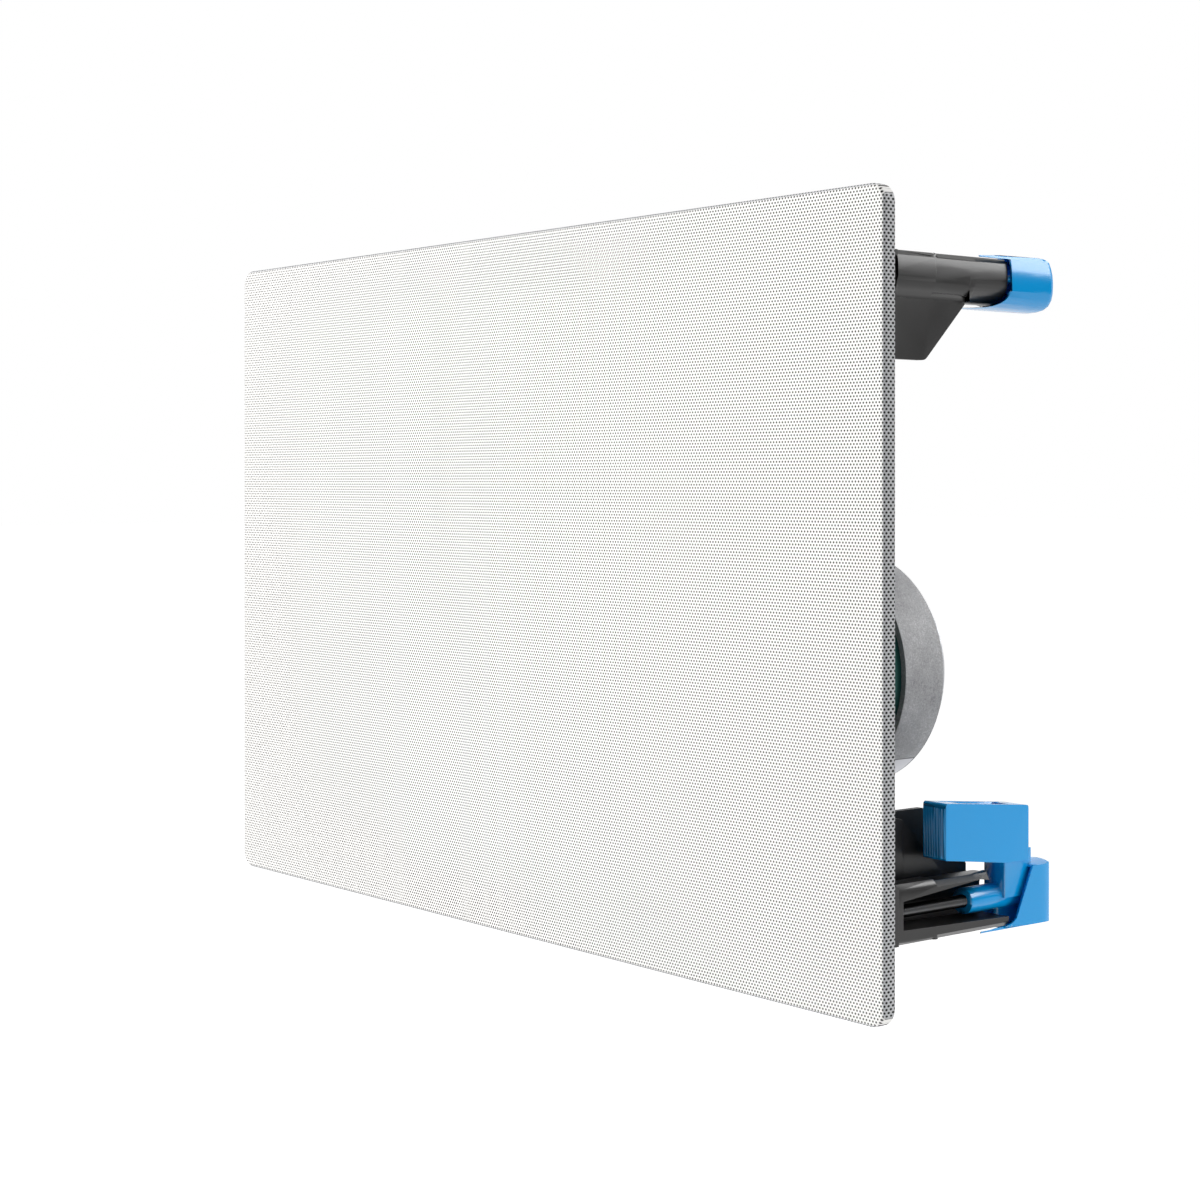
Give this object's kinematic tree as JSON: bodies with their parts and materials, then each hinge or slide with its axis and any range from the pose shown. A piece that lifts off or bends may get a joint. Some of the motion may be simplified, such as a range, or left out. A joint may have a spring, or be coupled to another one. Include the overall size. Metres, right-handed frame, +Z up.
{
  "type": "in wall speaker",
  "caption": "Landscape in-wall loudspeaker: perforated grille on a flanged frame, woofers either side of a raised tweeter, rear swing-out clamps.",
  "frame": {"origin": "middle of the flange, on the rear face that lies against the wall", "axes": "+X along the long side, +Y into the wall, +Z up"},
  "size_m": [0.372, 0.0892, 0.25],
  "materials": {
    "grille_paint": "matte white powder coat",
    "cloth": "black open cloth",
    "nickel": "nickel plated",
    "frame_plastic": "moulded black, fine texture",
    "clamp_plastic": "semi-gloss blue",
    "black_steel": "black oxide",
    "zinc_steel": "zinc plated",
    "basket_paint": "satin black",
    "rubber": "matte",
    "paper": "coated pulp, dark grey",
    "cap_rubber": "matte",
    "copper": "lacquered copper wire",
    "spider_cloth": "resin treated cloth",
    "green_plate": "dark green passivated",
    "ferrite": "sintered, matte grey",
    "tag_board": "phenolic board with tinned tags",
    "tweeter_plastic": "fine texture",
    "dome_cloth": "coated silk",
    "board_green": "solder mask",
    "film_yellow": "wrapped film",
    "can_blue": "shrink sleeve",
    "ceramic_white": "unglazed",
    "block_plastic": "moulded",
    "button_red": "moulded",
    "button_black": "moulded",
    "lead_red": "PVC insulation",
    "lead_black": "PVC insulation"
  },
  "bodies": {
    "frame_and_drivers": {"grille": "grille_paint", "grille_cloth": "cloth", "grille_magnets": "nickel", "frame_flange": "frame_plastic", "frame": "frame_plastic", "clamp_towers": "frame_plastic", "woofer_basket_r": "basket_paint", "woofer_surround_r": "rubber", "spider_r": "spider_cloth", "front_plate_r": "green_plate", "ring_magnet_r": "ferrite", "back_plate_r": "zinc_steel", "woofer_screws_r": "black_steel", "woofer_tags_r": "tag_board", "woofer_basket_l": "basket_paint", "woofer_surround_l": "rubber", "spider_l": "spider_cloth", "front_plate_l": "green_plate", "ring_magnet_l": "ferrite", "back_plate_l": "zinc_steel", "woofer_screws_l": "black_steel", "woofer_tags_l": "tag_board", "tweeter_faceplate": "tweeter_plastic", "tweeter_front_plate": "zinc_steel", "tweeter_magnet": "ferrite", "tweeter_back_plate": "zinc_steel", "tweeter_chamber": "tweeter_plastic", "tweeter_tags": "tag_board", "tweeter_screws": "black_steel", "crossover_board": "board_green", "crossover_coils": "copper", "film_capacitors": "film_yellow", "round_capacitors": "can_blue", "resistors": "ceramic_white", "board_screws": "zinc_steel", "terminal_block": "block_plastic", "block_screws": "zinc_steel", "leads_red": "lead_red", "leads_black": "lead_black"},
    "screw_lr": {"clamp_screw_lr": "black_steel", "clamp_ring_lr": "zinc_steel"},
    "arm_lr": {"clamp_arm_lr": "clamp_plastic"},
    "screw_ur": {"clamp_screw_ur": "black_steel", "clamp_ring_ur": "zinc_steel"},
    "arm_ur": {"clamp_arm_ur": "clamp_plastic"},
    "screw_ul": {"clamp_screw_ul": "black_steel", "clamp_ring_ul": "zinc_steel"},
    "arm_ul": {"clamp_arm_ul": "clamp_plastic"},
    "screw_ll": {"clamp_screw_ll": "black_steel", "clamp_ring_ll": "zinc_steel"},
    "arm_ll": {"clamp_arm_ll": "clamp_plastic"},
    "cone_r": {"woofer_cone_r": "paper", "woofer_cap_r": "cap_rubber", "voice_coil_r": "copper"},
    "cone_l": {"woofer_cone_l": "paper", "woofer_cap_l": "cap_rubber", "voice_coil_l": "copper"},
    "dome": {"tweeter_dome": "dome_cloth"},
    "button_red": {"push_button_red": "button_red"},
    "button_black": {"push_button_black": "button_black"}
  },
  "joints": [
    {"name": "screw_turn_lr", "type": "hinge", "parent": "frame_and_drivers", "child": "screw_lr", "pos_m": [0.17, 0.05, -0.095], "axis": [0, 1, 0], "continuous": true},
    {"name": "arm_swing_lr", "type": "hinge", "parent": "frame_and_drivers", "child": "arm_lr", "pos_m": [0.17, 0.05, -0.095], "axis": [0, 1, 0], "range_deg": [0, 90]},
    {"name": "screw_turn_ur", "type": "hinge", "parent": "frame_and_drivers", "child": "screw_ur", "pos_m": [0.1665, 0.05, 0.1008], "axis": [0, 1, 0], "continuous": true},
    {"name": "arm_swing_ur", "type": "hinge", "parent": "frame_and_drivers", "child": "arm_ur", "pos_m": [0.1665, 0.05, 0.1008], "axis": [0, 1, 0], "range_deg": [0, 90]},
    {"name": "screw_turn_ul", "type": "hinge", "parent": "frame_and_drivers", "child": "screw_ul", "pos_m": [-0.17, 0.05, 0.095], "axis": [0, 1, 0], "continuous": true},
    {"name": "arm_swing_ul", "type": "hinge", "parent": "frame_and_drivers", "child": "arm_ul", "pos_m": [-0.17, 0.05, 0.095], "axis": [0, 1, 0], "range_deg": [0, 90]},
    {"name": "screw_turn_ll", "type": "hinge", "parent": "frame_and_drivers", "child": "screw_ll", "pos_m": [-0.1665, 0.05, -0.1008], "axis": [0, 1, 0], "continuous": true},
    {"name": "arm_swing_ll", "type": "hinge", "parent": "frame_and_drivers", "child": "arm_ll", "pos_m": [-0.1665, 0.05, -0.1008], "axis": [0, 1, 0], "range_deg": [0, 90]},
    {"name": "cone_stroke_r", "type": "slide", "parent": "frame_and_drivers", "child": "cone_r", "axis": [0, -1, 0], "range_m": [-0.004, 0.004], "stiffness_N_per_m": 1200, "deforming": ["woofer_surround_r", "spider_r"]},
    {"name": "cone_stroke_l", "type": "slide", "parent": "frame_and_drivers", "child": "cone_l", "axis": [0, -1, 0], "range_m": [-0.004, 0.004], "stiffness_N_per_m": 1200, "deforming": ["woofer_surround_l", "spider_l"]},
    {"name": "dome_stroke", "type": "slide", "parent": "frame_and_drivers", "child": "dome", "axis": [0, -1, 0], "range_m": [-0.00025, 0.00025], "stiffness_N_per_m": 3000},
    {"name": "push_red", "type": "slide", "parent": "frame_and_drivers", "child": "button_red", "axis": [0, -1, 0], "range_m": [0, 0.003], "stiffness_N_per_m": 1500, "springref_m": -0.001},
    {"name": "push_black", "type": "slide", "parent": "frame_and_drivers", "child": "button_black", "axis": [0, -1, 0], "range_m": [0, 0.003], "stiffness_N_per_m": 1500, "springref_m": -0.001}
  ]
}
